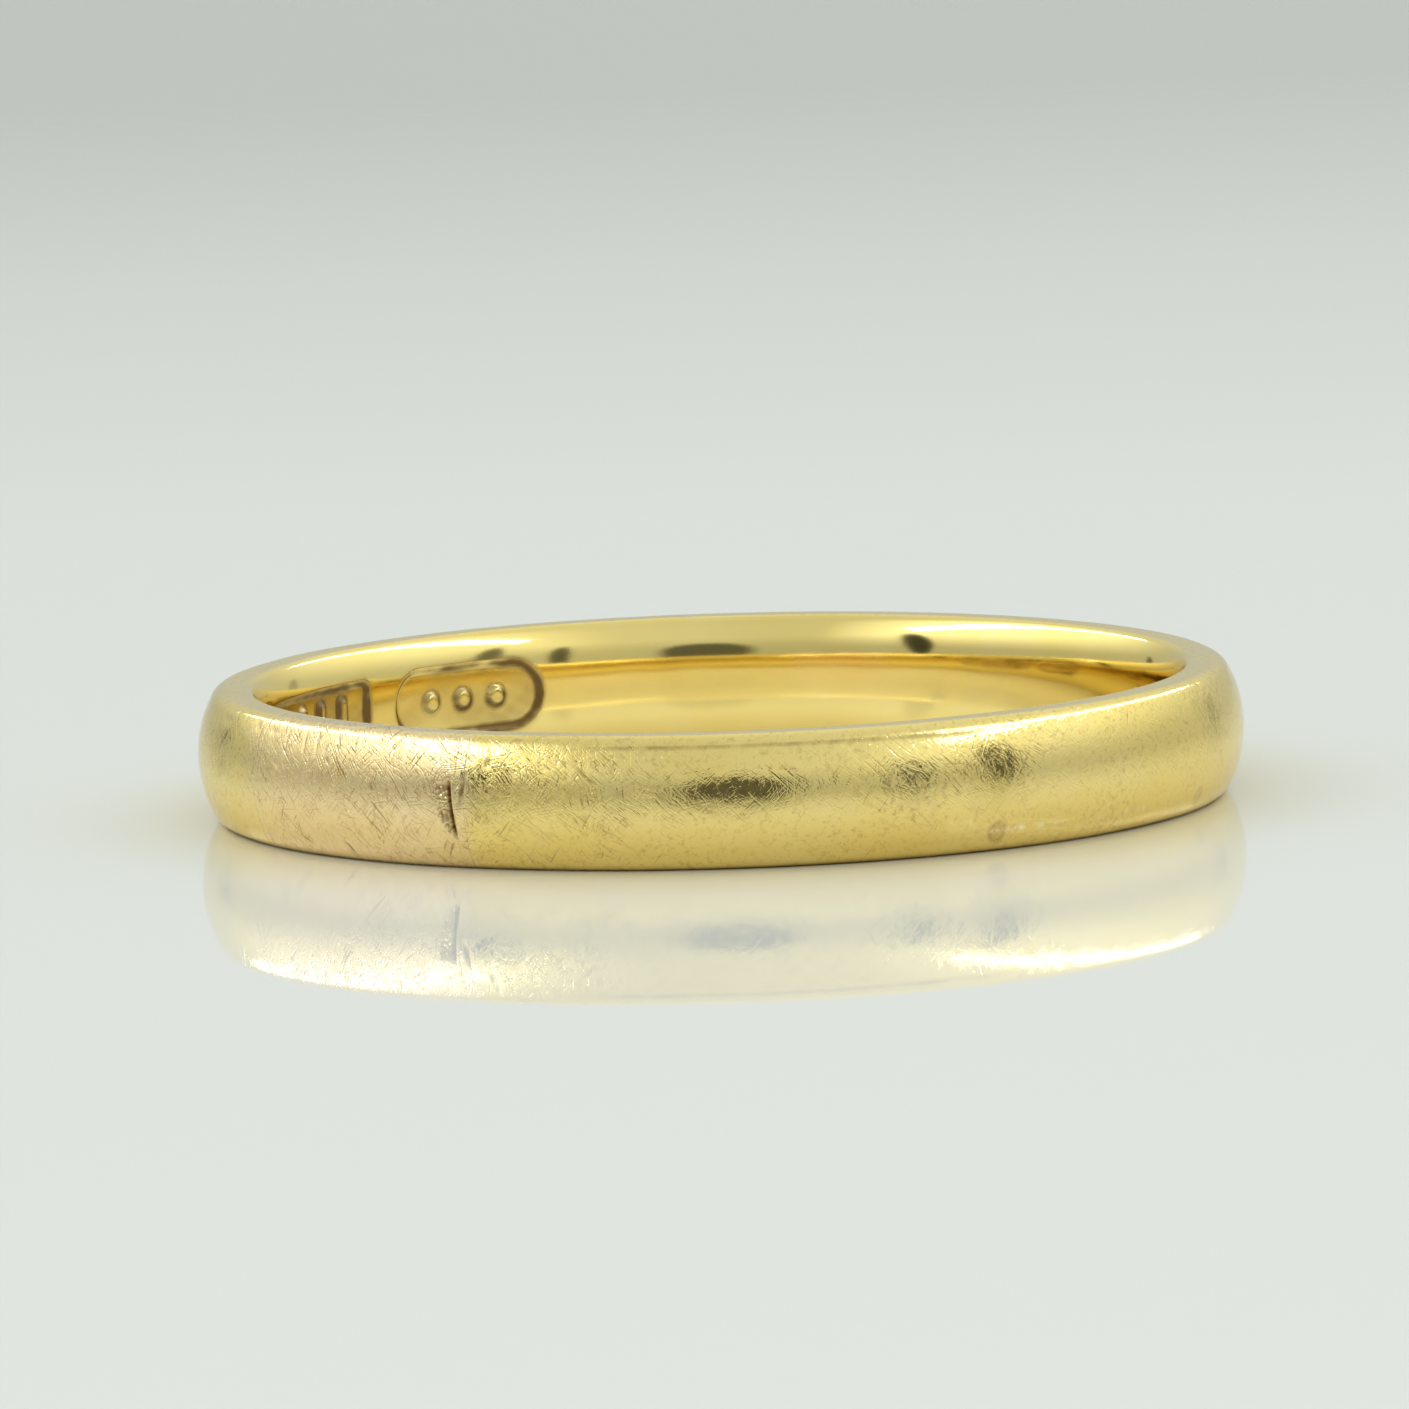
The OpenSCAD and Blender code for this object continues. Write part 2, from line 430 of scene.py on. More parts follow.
def wear(deg, row, points):
    """Depth worn or knocked into the surface, what lies on it, and a painted highlight, for each point.
    """
    rng = np.random.default_rng(WEAR_SEED)
    z = row["z"][None, :]
    outside, inside = row["outside"][None, :], row["inside"][None, :]

    knocks = scattered_dents(rng, *CROWN_DENTS)
    knocks += scattered_dents(rng, *UPPER_RIM_NICKS)
    knocks += scattered_dents(rng, *LOWER_RIM_NICKS)
    singles = dent_field(deg, z, SINGLE_NICKS)
    dents = outside * (dent_field(deg, z, knocks) + singles)

    crease_top, crease_low = crease(deg, z, CREASE_TOP), crease(deg, z, CREASE_LOW)
    creases = outside * (CREASE_TOP[-1] * crease_top + CREASE_LOW[-1] * crease_low)
    # A painted highlight, broken up, runs along the low crease. It stands in for the lamps' reflection
    # off the table.
    highlight_broken_up = np.clip(0.35 + ripples(points, *CREASE_HIGHLIGHT_BREAKS), 0, 1)
    painted_highlight = outside * crease_low * highlight_broken_up

    seams, flowed = 0, 0
    for seam, reach in SOLDER_FLOWS:
        away = np.abs(np.radians(turned(deg, seam))) * OUTER_R + 0 * z
        seams = seams + SEAM_GROOVE_DEPTH * bell(away - SEAM_W / 2, SEAM_GROOVE_HALF_W)
        flowed = flowed + 1 - smooth_step(SEAM_W / 2, SEAM_W / 2 + reach, away)
    cut, pores = slit(deg, z)
    froth = np.clip(0.5 + 0.75 * ripples(points, *FROTH), 0, 1)
    pits = outside * (SLIT_DEPTH * cut + PORES_DEPTH * pores * (0.3 + froth))

    sunk, punch_grime_and_shade = punch_marks(deg, z)
    # The punch marks' grime and painted shade come and go in patches.
    patchy = 0.95 + ripples(points, *BROAD_GRIME_AND_SHADE) + ripples(points, *SHORT_GRIME_AND_SHADE)
    punch_grime_and_shade = punch_grime_and_shade * np.clip(patchy, 0.25, 1.4)
    punched = inside * PUNCH_DEPTH * sunk

    uneven = WORN_AWAY + ripples(points, *BROAD_WEAR) + ripples(points, *SHORT_WEAR)
    uneven = uneven * (1 - BORE_SPARED * inside)
    depth = np.maximum(uneven, 0) + dents + creases + seams + pits + punched

    in_crease = CREASE_DIRT * crease_top * np.clip(0.7 + ripples(points, *CREASE_GRIME), 0, 1)
    in_pores = pores * (PORES_DIRT + FROTH_DIRT * froth)
    grime = outside * (SLIT_DIRT * cut + in_pores + NICK_DIRT * singles + in_crease)
    # Dirt outside, and in the bore the punch marks' grime and painted shade.
    dirt_and_shade = np.clip(grime + inside * punch_grime_and_shade, 0, 1)
    most_rubbed = window(deg % 360 + 0 * z, RUBBED_FROM, RUBBED_TO, RUBBED_FADE)
    rubbed = RUBBED_ELSEWHERE + (1 - RUBBED_ELSEWHERE) * most_rubbed
    return depth, {
        "dirt_and_shade": dirt_and_shade,
        "spots": outside * spots(deg, z),
        "solder": flowed,
        "rubbed": rubbed,
        "painted_highlight": painted_highlight,
    }


# ---------------------------------------------------------------- the meshes

# Where the columns of a mesh are close together: from, to, and the step there.
CLOSE_COLUMNS = [
    (112, 174, 0.045),
    (SIDE_SEAM - 2, FRONT_SEAM - 3.2, 0.030),
    (FRONT_SEAM - 3.2, FRONT_SEAM + 0.6, 0.015),
    (FRONT_SEAM + 0.6, FRONT_SEAM + 6, 0.035),
    (298.5, 303.5, 0.045),
]
OPEN_STEP = 0.095


def columns(start, end):
    """Angles from start to end, close together where there is fine detail."""
    angles = [start]
    while angles[-1] < end:
        here = angles[-1] % 360
        steps = [step for low, high, step in CLOSE_COLUMNS if low <= here <= high]
        angles.append(angles[-1] + math.degrees(min(steps, default=OPEN_STEP) / OUTER_R))
    angles = np.array(angles)
    return start + (angles - start) * (end - start) / (angles[-1] - start)


def band_mesh(name, start, end, row):
    """A closed length of the band, worn, with its wear stored for the materials."""
    deg = columns(start, end)[:, None]
    turn = np.radians(deg)
    r, z = row["r"][None, :], row["z"][None, :]
    points = np.stack([r * np.cos(turn), r * np.sin(turn), z + 0 * turn], -1)
    normals = np.stack([row["nr"] * np.cos(turn), row["nr"] * np.sin(turn), row["nz"] + 0 * turn], -1)
    depth, stored = wear(deg, row, points)
    points = points - normals * depth[..., None]

    cols, rows = depth.shape
    index = np.arange(cols * rows).reshape(cols, rows)
    ahead = np.roll(index, -1, axis=1)
    quads = np.stack([index[:-1], index[1:], ahead[1:], ahead[:-1]], -1).reshape(-1, 4)
    faces = quads.tolist() + [index[0].tolist(), index[-1][::-1].tolist()]

    mesh = bpy.data.meshes.new(name)
    mesh.from_pydata((points.reshape(-1, 3) * MM).tolist(), [], faces)
    mesh.polygons.foreach_set("use_smooth", [True] * len(quads) + [False, False])

    # The unrolled surface in millimetres: distance round the ring, and round the section.
    along = np.append(row["along"], row["girth"])
    u = np.radians(deg[:, 0]) * OUTER_R
    corner_u = np.stack([u[:-1], u[1:], u[1:], u[:-1]], -1)[:, None, :]
    corner_v = np.stack([along[:-1], along[:-1], along[1:], along[1:]], -1)[None, :, :]
    corner_uv = np.stack(np.broadcast_arrays(corner_u, corner_v), -1).reshape(-1, 2)
    caps = np.zeros((2 * rows, 2))
    layer = mesh.uv_layers.new(name="unrolled_mm")
    layer.data.foreach_set("uv", np.vstack([corner_uv, caps]).ravel())

    for label in ("inside", "edge"):
        stored[label] = np.broadcast_to(row[label], depth.shape)
    for label, values in stored.items():
        layer = mesh.attributes.new(label, "FLOAT", "POINT")
        layer.data.foreach_set("value", np.ascontiguousarray(values, np.float32).ravel())
    mesh.validate()
    mesh.update()
    return mesh


def add_piece(name, start, end, row, material, node):
    """Makes a length of the band, and puts it in the place of its CAD node."""
    piece = bpy.data.objects.new(name, band_mesh(name, start, end, row))
    bpy.context.scene.collection.objects.link(piece)
    piece.data.materials.append(material)
    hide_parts(node)
    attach(piece, "root")
    return piece


# ---------------------------------------------------------------- materials


def add_node(tree, kind, inputs=None, **settings):
    """Adds a node, sets its properties, and sets or links its inputs."""
    node = tree.nodes.new(kind)
    for key, value in settings.items():
        setattr(node, key, value)
    for socket, value in (inputs or {}).items():
        if isinstance(value, bpy.types.NodeSocket):
            tree.links.new(value, node.inputs[socket])
        else:
            node.inputs[socket].default_value = value
    return node


def calc(tree, operation, a, b=0.0, clamp=False):
    """A math node's result."""
    node = add_node(tree, "ShaderNodeMath", {0: a, 1: b}, operation=operation, use_clamp=clamp)
    return node.outputs[0]


def remap(tree, value, low, high, to_low=0.0, to_high=1.0):
    """A value moved from one range to another, and kept inside it."""
    inputs = {"Value": value, "From Min": low, "From Max": high, "To Min": to_low, "To Max": to_high}
    return add_node(tree, "ShaderNodeMapRange", inputs).outputs["Result"]


def blend_colour(tree, share, a, b):
    """A mix of two colours."""
    return add_node(tree, "ShaderNodeMix", {0: share, 6: a, 7: b}, data_type="RGBA").outputs[2]


def attribute(tree, name):
    """A value stored on the mesh."""
    return add_node(tree, "ShaderNodeAttribute", attribute_name=name).outputs["Fac"]


def times(tree, *factors):
    """The product of two or more values."""
    product = factors[0]
    for factor in factors[1:]:
        product = calc(tree, "MULTIPLY", product, factor)
    return product


def noise(tree, vector, scale, detail=2.0, roughness=0.5):
    """A noise texture's value."""
    inputs = {"Vector": vector, "Scale": scale, "Detail": detail, "Roughness": roughness}
    return add_node(tree, "ShaderNodeTexNoise", inputs).outputs["Fac"]


def stretched_noise(tree, place, kind, to_low=0.0, to_high=1.0):
    """A noise texture's value, stretched to run from one value to another."""
    return remap(tree, noise(tree, place, *kind["noise"]), *kind["part"], to_low, to_high)


# Sets of scratches: direction on the unrolled surface, the cell that holds one scratch
# (length and width), the share of cells that have one, the depth in millimetres, and
# the size in millimetres of the patches in which the set comes and goes.
SCRATCHES = [
    {"slant": -38, "cell": (0.75, 0.050), "share": 0.80, "depth": 0.0026, "patch": 3.0},
    {"slant": -52, "cell": (0.60, 0.046), "share": 0.75, "depth": 0.0024, "patch": 2.2},
    {"slant": -25, "cell": (0.90, 0.050), "share": 0.65, "depth": 0.0022, "patch": 2.6},
    {"slant": 46, "cell": (0.60, 0.050), "share": 0.60, "depth": 0.0022, "patch": 2.0},
    {"slant": 74, "cell": (0.55, 0.050), "share": 0.60, "depth": 0.0020, "patch": 2.4},
    {"slant": -80, "cell": (0.60, 0.050), "share": 0.60, "depth": 0.0022, "patch": 2.1},
    {"slant": 8, "cell": (0.90, 0.055), "share": 0.50, "depth": 0.0018, "patch": 2.8},
    {"slant": -44, "cell": (0.32, 0.045), "share": 0.90, "depth": 0.0020, "patch": 3.5},
    {"slant": 30, "cell": (0.28, 0.045), "share": 0.80, "depth": 0.0016, "patch": 2.9},
    {"slant": -44, "cell": (1.30, 0.078), "share": 0.22, "depth": 0.0042, "patch": 2.5},
    {"slant": 58, "cell": (1.00, 0.074), "share": 0.16, "depth": 0.0038, "patch": 2.3},
]
SCRATCH_REACH = 0.34
DEEP_SCRATCH = 0.0048

# Each set is moved by these multiples of its number, so that no two sets line up.
SCRATCH_OFFSET = (3.7, 1.9)
PATCH_OFFSET = (5.3, 7.1)
# A set never goes altogether: this share of its depth is left between its patches.
SCRATCH_LEFT = 0.30


def scratches(tree, surface, number, kind):
    """One set of scratches: its depth in millimetres, tapering to nothing at both ends."""
    placed = add_node(
        tree,
        "ShaderNodeMapping",
        {
            "Vector": surface,
            "Location": (SCRATCH_OFFSET[0] * number, SCRATCH_OFFSET[1] * number, 0),
            "Rotation": (0, 0, math.radians(kind["slant"])),
            "Scale": (kind["cell"][0], kind["cell"][1], 1),
        },
        vector_type="TEXTURE",
    ).outputs["Vector"]
    cell_inputs = {"Vector": placed, "Scale": 1.0}
    cells = add_node(tree, "ShaderNodeTexVoronoi", cell_inputs, voronoi_dimensions="2D")
    chance = add_node(tree, "ShaderNodeSeparateColor", {"Color": cells.outputs["Color"]}).outputs[0]
    groove = remap(tree, cells.outputs["Distance"], 0.0, SCRATCH_REACH, 1.0, 0.0)
    strength = remap(tree, chance, 1 - kind["share"], 1.0, 0.0, kind["depth"])
    shifted = add_node(
        tree,
        "ShaderNodeVectorMath",
        {0: surface, 1: (PATCH_OFFSET[0] * number, PATCH_OFFSET[1] * number, 0)},
        operation="ADD",
    ).outputs[0]
    patches = noise(tree, shifted, 1 / kind["patch"], 1.0)
    here = remap(tree, patches, 0.36, 0.62, SCRATCH_LEFT, 1.0)
    return times(tree, groove, strength, here)


# The scratches bend a little, as hand-made ones do: by how much, in millimetres.
SCRATCH_BEND = 0.16
# The shares of the scratches and of the satin that the bore and the edges keep.
INSIDE_SCRATCHES = 0.03
EDGE_SCRATCHES = 0.6
INSIDE_SATIN = 0.07
# The bore is smoother in shape, but fingers have left it a little less glossy.
INSIDE_ROUGHNESS_GAIN = 1.8

# The satin: how many features to the metre, and how deep in millimetres.
GRAIN = (16000.0, 0.0020)
LUMPS = (3300.0, 0.0052)

# What the wear adds to the roughness.
SCRATCH_ROUGHNESS = 0.05
SPOT_ROUGHNESS = 0.25
DIRT_AND_SHADE_ROUGHNESS = 0.35

# Noise textures: features to the metre, detail and roughness, and the part of the
# texture's values that is stretched to fill a range.
CLOUDS = {"noise": (900.0, 4.0, 0.6), "part": (0.3, 0.7)}
TONES = {"noise": (420.0, 3.0, 0.6), "part": (0.35, 0.75)}
SOLDER_EDGE = {"noise": (2600.0, 3.0), "part": (0.35, 0.65)}
STAIN_PATCHES = {"noise": (520.0, 3.0), "part": (0.38, 0.66)}
SPECKS = {"noise": (8500.0, 3.0, 0.7), "part": (0.52, 0.74)}
PAINTED_GLINTS = {"noise": (7000.0, 2.0), "part": (0.44, 0.60)}

# How far each thing covers the gold's own colour, at most.
SOLDER_COVER = 0.8
SPECK_COVER = 0.44
SPOT_COVER = 0.65
DIRT_AND_SHADE_COVER = 0.94
# Old dirt, and the painted shade in the punch marks, are less metallic than gold, but the metal still
# shows through them.
DIRT_AND_SHADE_METALLIC = 0.70


def scratch_depth(tree, surface, scratch_gain):
    """All the scratches together, as a depth in millimetres."""
    drift = add_node(tree, "ShaderNodeTexNoise", {"Vector": surface, "Scale": 1.3, "Detail": 1.5})
    bent = add_node(
        tree,
        "ShaderNodeVectorMath",
        {0: drift.outputs["Color"], 1: (SCRATCH_BEND,) * 3, 2: surface},
        operation="MULTIPLY_ADD",
    ).outputs[0]
    depth = 0.0
    for number, kind in enumerate(SCRATCHES):
        depth = calc(tree, "ADD", depth, scratches(tree, bent, number, kind))
    in_bore = remap(tree, attribute(tree, "inside"), 0.0, 1.0, 1.0, INSIDE_SCRATCHES)
    on_edge = remap(tree, attribute(tree, "edge"), 0.0, 1.0, 1.0, EDGE_SCRATCHES)
    amount = times(tree, in_bore, scratch_gain, attribute(tree, "rubbed"), on_edge)
    return times(tree, depth, amount)


def satin_height(tree, place):
    """The metal under the scratches: fine grain on soft, low lumps."""
    grain = times(tree, noise(tree, place, GRAIN[0], 2.0), GRAIN[1])
    lumps = times(tree, noise(tree, place, LUMPS[0], 2.0), LUMPS[1])
    in_bore = remap(tree, attribute(tree, "inside"), 0.0, 1.0, 1.0, INSIDE_SATIN)
    return times(tree, calc(tree, "ADD", grain, lumps), in_bore)


def gold_roughness(tree, place, roughness, scratched):
    """Cloudy roughness, with more of it in scratches, spots, dirt and the painted shade in the punch
    marks.
    """
    rough = stretched_noise(tree, place, CLOUDS, roughness * 0.85, roughness * 1.2)
    in_bore = remap(tree, attribute(tree, "inside"), 0.0, 1.0, 1.0, INSIDE_ROUGHNESS_GAIN)
    rough = times(tree, rough, in_bore)
    rough = calc(tree, "ADD", rough, times(tree, scratched, SCRATCH_ROUGHNESS))
    rough = calc(tree, "ADD", rough, times(tree, attribute(tree, "spots"), SPOT_ROUGHNESS))
    dirt_and_shade = times(tree, attribute(tree, "dirt_and_shade"), DIRT_AND_SHADE_ROUGHNESS)
    return calc(tree, "ADD", rough, dirt_and_shade, clamp=True)


def gold_colour(tree, place, colour, pale_colour, scratched, stain_gain):
    """The gold's own colour, with all that has been soldered, stained or dried on to it, a painted
    highlight along the low crease, and painted shade in the punch marks.
    """
    exposed = calc(tree, "SUBTRACT", 1.0, attribute(tree, "inside"))
    base = blend_colour(tree, stretched_noise(tree, place, TONES), colour, pale_colour)

    ragged = stretched_noise(tree, place, SOLDER_EDGE, -0.35, 0.35)
    solder = calc(tree, "ADD", attribute(tree, "solder"), ragged)
    base = blend_colour(tree, remap(tree, solder, 0.30, 1.0, 0.0, SOLDER_COVER), base, SOLDER)

    patchy = stretched_noise(tree, place, STAIN_PATCHES, 0.55, 1.5)
    stain = times(tree, remap(tree, scratched, 0.22, 1.0, 0.0, stain_gain), exposed)
    stain = calc(tree, "MULTIPLY", stain, patchy, clamp=True)
    base = blend_colour(tree, stain, base, STAIN)
    specks = stretched_noise(tree, place, SPECKS, 0.0, SPECK_COVER)
    base = blend_colour(tree, times(tree, specks, exposed, patchy), base, STAIN)

    base = blend_colour(tree, times(tree, attribute(tree, "spots"), SPOT_COVER), base, SPOT_BROWN)
    # The painted highlight along the low crease, broken into glints.
    painted_glints = stretched_noise(tree, place, PAINTED_GLINTS, 0.0, 1.1)
    painted_highlight = calc(tree, "MULTIPLY", attribute(tree, "painted_highlight"), painted_glints, clamp=True)
    base = blend_colour(tree, painted_highlight, base, PAINTED_HIGHLIGHT_COLOUR)
    # Dirt, and the painted shade in the punch marks, darken the colour last.
    return blend_colour(tree, times(tree, attribute(tree, "dirt_and_shade"), DIRT_AND_SHADE_COVER), base, DIRT_AND_SHADE_BROWN)


def worn_gold(name, colour, pale_colour, roughness, scratch_gain, stain_gain):
    """Gold that has been worn for years: scratched all over outside, polished inside."""
    material = bpy.data.materials.new(name)
    material.use_nodes = True
    tree = material.node_tree
    shader = tree.nodes["Principled BSDF"]
    shader.inputs["Specular Tint"].default_value = EDGE_TINT
    surface = add_node(tree, "ShaderNodeUVMap", uv_map="unrolled_mm").outputs["UV"]
    place = add_node(tree, "ShaderNodeTexCoord").outputs["Object"]

    depth = scratch_depth(tree, surface, scratch_gain)
    height = calc(tree, "SUBTRACT", satin_height(tree, place), depth)
    bump = add_node(tree, "ShaderNodeBump", {"Strength": 1.0, "Distance": MM, "Height": height})
    tree.links.new(bump.outputs["Normal"], shader.inputs["Normal"])

    scratched = remap(tree, depth, 0.0, DEEP_SCRATCH)
    rough = gold_roughness(tree, place, roughness, scratched)
    tree.links.new(rough, shader.inputs["Roughness"])
    base = gold_colour(tree, place, colour, pale_colour, scratched, stain_gain)
    tree.links.new(base, shader.inputs["Base Color"])
    metallic = remap(tree, attribute(tree, "dirt_and_shade"), 0.3, 1.0, 1.0, DIRT_AND_SHADE_METALLIC)
    tree.links.new(metallic, shader.inputs["Metallic"])
    return material


# ---------------------------------------------------------------- stage

# The camera, from the ring's axis at table height.
CAMERA_DISTANCE = 297.0
CAMERA_ELEVATION = 7.46
CAMERA_ROLL = -1.80
CAMERA_AIM = (-0.29, 0.0, 1.88)
LENS = 401.0
SENSOR = 36.0
CLIP_NEAR, CLIP_FAR = 0.01, 10.0

LIGHT_TINT = (0.950, 1.0, 0.942)


def make_camera():
    """A long lens, low over the table and leaning a little to one side."""
    rise = math.radians(CAMERA_ELEVATION)
    place = Vector((0, -math.cos(rise), math.sin(rise))) * CAMERA_DISTANCE
    forward = (Vector(CAMERA_AIM) - place).normalized()
    level = forward.cross(Vector((0, 0, 1))).normalized()
    roll = Matrix.Rotation(math.radians(-CAMERA_ROLL), 3, forward)
    right = roll @ level
    up = right.cross(forward)
    data = bpy.data.cameras.new("camera")
    data.lens = LENS
    data.sensor_width = SENSOR
    data.clip_start, data.clip_end = CLIP_NEAR, CLIP_FAR
    camera = bpy.data.objects.new("camera", data)
    axes = Matrix((right, up, -forward)).transposed()
    camera.matrix_world = Matrix.Translation(place * MM) @ axes.to_4x4()
    bpy.context.scene.collection.objects.link(camera)
    bpy.context.scene.camera = camera


def ramp(tree, value, stops, tint=(1, 1, 1)):
    """A colour ramp of greys, or of a tint's shades, from (position, level) pairs."""
    node = add_node(tree, "ShaderNodeValToRGB", {"Fac": value})
    stack = node.color_ramp.elements
    while len(stack) < len(stops):
        stack.new(1.0)
    for element, (position, level) in zip(stack, stops):
        element.position = position
        element.color = (*(level * c for c in tint), 1)
    return node.outputs["Color"]


# The tent's brightness by height, where 0 is the horizon and 1 is overhead.
TENT_FRONT = [(0.0, 0.46), (0.22, 0.52), (0.42, 0.68), (0.7, 0.66), (0.88, 0.60), (1.0, 0.70)]
TENT_BACK = [(0.0, 0.50), (0.12, 0.53), (0.30, 0.66), (0.55, 0.82), (0.85, 0.78), (1.0, 0.70)]
TENT_LEFT = 1.10
TENT_RIGHT = 1.26
# It turns from front to back between these values of a direction's Y, and from left to
# right between these values of its X.
TENT_TURNS = (-0.85, 0.35)
TENT_SIDES = (-0.25, 0.65)

# The tent is brighter round the lamp strips, by these shares. The glow grows with a
# direction's distance to the side, fades in with its height, and fades out overhead.
GLOW_LEFT = 0.95
GLOW_RIGHT = 0.32
GLOW_SIDES = (0.40, 0.70)
GLOW_FADES_IN = (0.15, 0.45)
GLOW_FADES_OUT = (0.90, 0.74)


def make_world():
    """A white tent: dimmer towards the camera and along the horizon."""
    world = bpy.data.worlds.new("tent")
    bpy.context.scene.world = world
    world.use_nodes = True
    tree = world.node_tree
    direction = add_node(tree, "ShaderNodeTexCoord").outputs["Generated"]
    x, y, z = add_node(tree, "ShaderNodeSeparateXYZ", {"Vector": direction}).outputs
    front = ramp(tree, z, TENT_FRONT, LIGHT_TINT)
    back = ramp(tree, z, TENT_BACK, LIGHT_TINT)
    share = remap(tree, y, *TENT_TURNS)
    background = tree.nodes["Background"]
    tree.links.new(blend_colour(tree, share, front, back), background.inputs["Color"])
    strength = remap(tree, x, *TENT_SIDES, TENT_LEFT, TENT_RIGHT)
    near, far = GLOW_SIDES
    on_left = remap(tree, x, -near, -far, 0.0, GLOW_LEFT)
    on_right = remap(tree, x, near, far, 0.0, GLOW_RIGHT)
    to_side = calc(tree, "ADD", on_left, on_right)
    glow = times(tree, to_side, remap(tree, z, *GLOW_FADES_IN), remap(tree, z, *GLOW_FADES_OUT))
    strength = times(tree, strength, calc(tree, "ADD", glow, 1.0))
    tree.links.new(strength, background.inputs["Strength"])


def stage_mesh(name, corners, faces, material):
    """A stage object made from corners in millimetres."""
    mesh = bpy.data.meshes.new(name)
    mesh.from_pydata([[c * MM for c in corner] for corner in corners], [], faces)
    mesh.materials.append(material)
    item = bpy.data.objects.new(name, mesh)
    bpy.context.scene.collection.objects.link(item)
    return item


def disc(radius, count):
    """Points round a circle."""
    turns = [2 * math.pi * i / count for i in range(count)]
    return [(radius * math.cos(a), radius * math.sin(a)) for a in turns]


FLOOR_R = 900.0
FLOOR_RIM_POINTS = 72
FLOOR_ROUGHNESS = 0.02
FLOOR_IOR = 1.36

# The table's greys from the ring's axis back to FLOOR_FADE, in metres. They are painted shade: the table
# darkens further back, as the light falls off.
FLOOR_FADE = 0.16
FLOOR_PAINTED_FALLOFF = [(0.0, 0.81), (0.30, 0.83), (0.65, 0.71), (1.0, 0.48)]

# Its colour inside the ring, which is painted light that brightens the table there, and a
# warm tint of painted light bounced from the gold. The tint is multiplied in, so it also
# darkens the table a little, and it reaches from the ring out to the radius below.
FLOOR_PAINTED_LIGHT_IN_RING = (1.0, 0.99, 0.96, 1)
FLOOR_PAINTED_BOUNCE = (1.0, 0.95, 0.80, 1)
PAINTED_BOUNCE_R = 1.30 * OUTER_R


def make_floor():
    """A pale, glossy table top, with painted shade that darkens it further back, painted light inside
    the ring, and a painted warm bounce from the gold round the ring.
    """
    material = bpy.data.materials.new("table")
    material.use_nodes = True
    tree = material.node_tree
    shader = tree.nodes["Principled BSDF"]
    shader.inputs["Roughness"].default_value = FLOOR_ROUGHNESS
    shader.inputs["IOR"].default_value = FLOOR_IOR
    place = add_node(tree, "ShaderNodeTexCoord").outputs["Object"]
    away = add_node(tree, "ShaderNodeSeparateXYZ", {"Vector": place}).outputs["Y"]
    # Painted shade: the table is darker further back.
    colour = ramp(tree, remap(tree, away, 0.0, FLOOR_FADE), FLOOR_PAINTED_FALLOFF)
    length = add_node(tree, "ShaderNodeVectorMath", {0: place}, operation="LENGTH")
    from_axis = length.outputs["Value"]
    # Painted warm bounce from the gold round the ring, multiplied into the table's colour.
    near_ring = remap(tree, from_axis, PAINTED_BOUNCE_R * MM, OUTER_R * MM)
    past_bore = remap(tree, from_axis, BORE_R * MM, OUTER_R * MM)
    painted_bounce = times(tree, near_ring, past_bore)
    bounce_mix = add_node(tree, "ShaderNodeMix", {0: painted_bounce, 6: colour, 7: FLOOR_PAINTED_BOUNCE}, data_type="RGBA")
    bounce_mix.blend_type = "MULTIPLY"
    # Painted light: the table is brighter inside the ring.
    in_ring = remap(tree, from_axis, OUTER_R * MM, BORE_R * MM)
    colour = blend_colour(tree, in_ring, bounce_mix.outputs[2], FLOOR_PAINTED_LIGHT_IN_RING)
    tree.links.new(colour, shader.inputs["Base Color"])
    corners = [(x, y, 0) for x, y in disc(FLOOR_R, FLOOR_RIM_POINTS)]
    stage_mesh("table_top", corners, [list(range(len(corners)))], material)


def quad_facing(centre, half_w, half_h, target):
    """The corners of an upright rectangle that faces a point."""
    forward = (Vector(target) - Vector(centre)).normalized()
    side = forward.cross(Vector((0, 0, 1))).normalized()
    up = side.cross(forward)
    signs = ((-1, -1), (1, -1), (1, 1), (-1, 1))
    return [tuple(Vector(centre) + side * half_w * a + up * half_h * b) for a, b in signs]


def around(azimuth, elevation, distance):
    """A point seen from the ring, with azimuth 0 towards the camera."""
    a, e = math.radians(azimuth), math.radians(elevation)
    return Vector((math.sin(a) * math.cos(e), -math.cos(a) * math.cos(e), math.sin(e))) * distance


# Two rows of small lamps: their spacing and half sizes, and where each row runs.
LED_COLOUR = (0.82, 0.94, 1.34, 1)
LED_PITCH = 16.7
LED_HALF_W = 2.2
LED_HALF_H = 15.0
LED_STRIP_X = 205.0
LED_STRIP_Z = 172.0
LED_STRIP_Y = (-130.0, 350.0)
LED_STRENGTH = 16.0


def make_led_strips():
    """A row of lamps along each upper side of the tent, seen only in reflections."""
    material = bpy.data.materials.new("led")
    material.use_nodes = True
    tree = material.node_tree
    lamp = add_node(tree, "ShaderNodeEmission", {"Color": LED_COLOUR, "Strength": LED_STRENGTH})
    tree.links.new(lamp.outputs[0], tree.nodes["Material Output"].inputs["Surface"])
    for label, x in (("left", -LED_STRIP_X), ("right", LED_STRIP_X)):
        corners, faces = [], []
        y = LED_STRIP_Y[0]
        while y <= LED_STRIP_Y[1]:
            start = len(corners)
            corners += quad_facing((x, y, LED_STRIP_Z), LED_HALF_W, LED_HALF_H, (0, y, 0))
            faces.append([start, start + 1, start + 2, start + 3])
            y += LED_PITCH
        strip = stage_mesh(f"led_strip_{label}", corners, faces, material)
        strip.visible_camera = False
        strip.visible_diffuse = False


TOP_LAMP_HALF = 200.0
TOP_LAMP_Z = 260.0
TOP_LAMP_STRENGTH = 1.19


